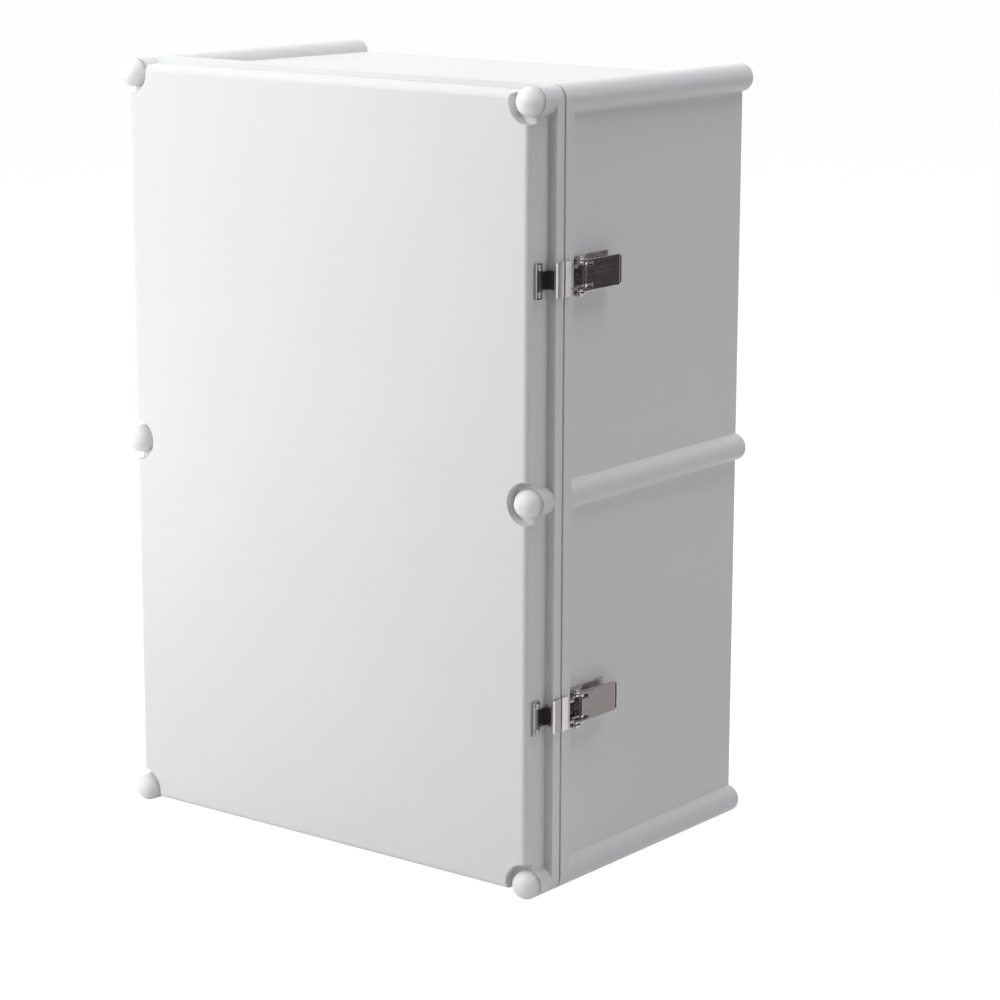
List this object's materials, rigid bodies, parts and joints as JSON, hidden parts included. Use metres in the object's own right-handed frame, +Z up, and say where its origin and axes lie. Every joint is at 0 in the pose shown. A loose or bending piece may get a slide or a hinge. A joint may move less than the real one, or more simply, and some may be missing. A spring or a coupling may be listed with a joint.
{
  "type": "plastic enclosure",
  "caption": "Upright light grey wall-mounting plastic enclosure with a hinged lift-front cover, side draw latches, domed post plugs and a mounting plate inside.",
  "frame": {"origin": "centre of the rear face, which lies on the wall, and of the wall-screw pattern in it", "axes": "+Z up, +Y out of the rear face toward the wall, so the cover faces -Y; +X toward the latches"},
  "size_m": [0.3898, 0.2614, 0.56],
  "materials": {
    "housing": "light grey moulded plastic, fine satin texture",
    "plug": "light grey moulded plastic",
    "seal": "black sponge rubber",
    "plate": "galvanised sheet",
    "insert": "turned",
    "screw": "zinc plated",
    "hinge": "pressed stainless sheet",
    "pin": "drawn stainless rod",
    "rivet": "set stainless rivet",
    "latch": "pressed stainless sheet"
  },
  "bodies": {
    "base": {"base_shell": "housing", "mounting_plate": "plate", "plate_inserts": "insert", "plate_screws": "screw", "hinge_base_leaf_upper": "hinge", "hinge_base_leaf_lower": "hinge", "hinge_pin_upper": "pin", "hinge_pin_lower": "pin", "hinge_base_rivets": "rivet", "latch_bracket_upper": "latch", "latch_bracket_lower": "latch", "bracket_rivets": "rivet", "lever_pivots": "pin"},
    "cover": {"cover_shell": "housing", "gasket": "seal", "plug_top_left": "plug", "plug_top_right": "plug", "plug_mid_left": "plug", "plug_mid_right": "plug", "plug_bottom_left": "plug", "plug_bottom_right": "plug", "hinge_cover_leaf_upper": "hinge", "hinge_cover_leaf_lower": "hinge", "hinge_cover_rivets": "rivet", "keeper_upper": "latch", "keeper_lower": "latch", "keeper_rivets": "rivet"},
    "upper_lever": {"lever_upper": "latch", "claw_pin_upper": "pin"},
    "lower_lever": {"lever_lower": "latch", "claw_pin_lower": "pin"},
    "upper_claw": {"claw_upper": "latch"},
    "lower_claw": {"claw_lower": "latch"}
  },
  "joints": [
    {"name": "cover_hinge", "type": "hinge", "parent": "base", "child": "cover", "pos_m": [-0.1935, -0.2259, 0], "axis": [0, 0, -1], "range_deg": [0, 180]},
    {"name": "upper_lever_pivot", "type": "hinge", "parent": "base", "child": "upper_lever", "pos_m": [0.18948, -0.2095, 0.151], "axis": [0, 0, -1], "range_deg": [0, 105]},
    {"name": "lower_lever_pivot", "type": "hinge", "parent": "base", "child": "lower_lever", "pos_m": [0.18948, -0.2095, -0.151], "axis": [0, 0, -1], "range_deg": [0, 105]},
    {"name": "upper_claw_pivot", "type": "hinge", "parent": "upper_lever", "child": "upper_claw", "pos_m": [0.18749, -0.2005, 0.151], "axis": [0, 0, 1], "range_deg": [0, 115.5]},
    {"name": "lower_claw_pivot", "type": "hinge", "parent": "lower_lever", "child": "lower_claw", "pos_m": [0.18749, -0.2005, -0.151], "axis": [0, 0, 1], "range_deg": [0, 115.5]}
  ],
  "couplings": [
    {"joint": "upper_claw_pivot", "follows": "upper_lever_pivot", "ratio": 1.1},
    {"joint": "lower_claw_pivot", "follows": "lower_lever_pivot", "ratio": 1.1}
  ]
}
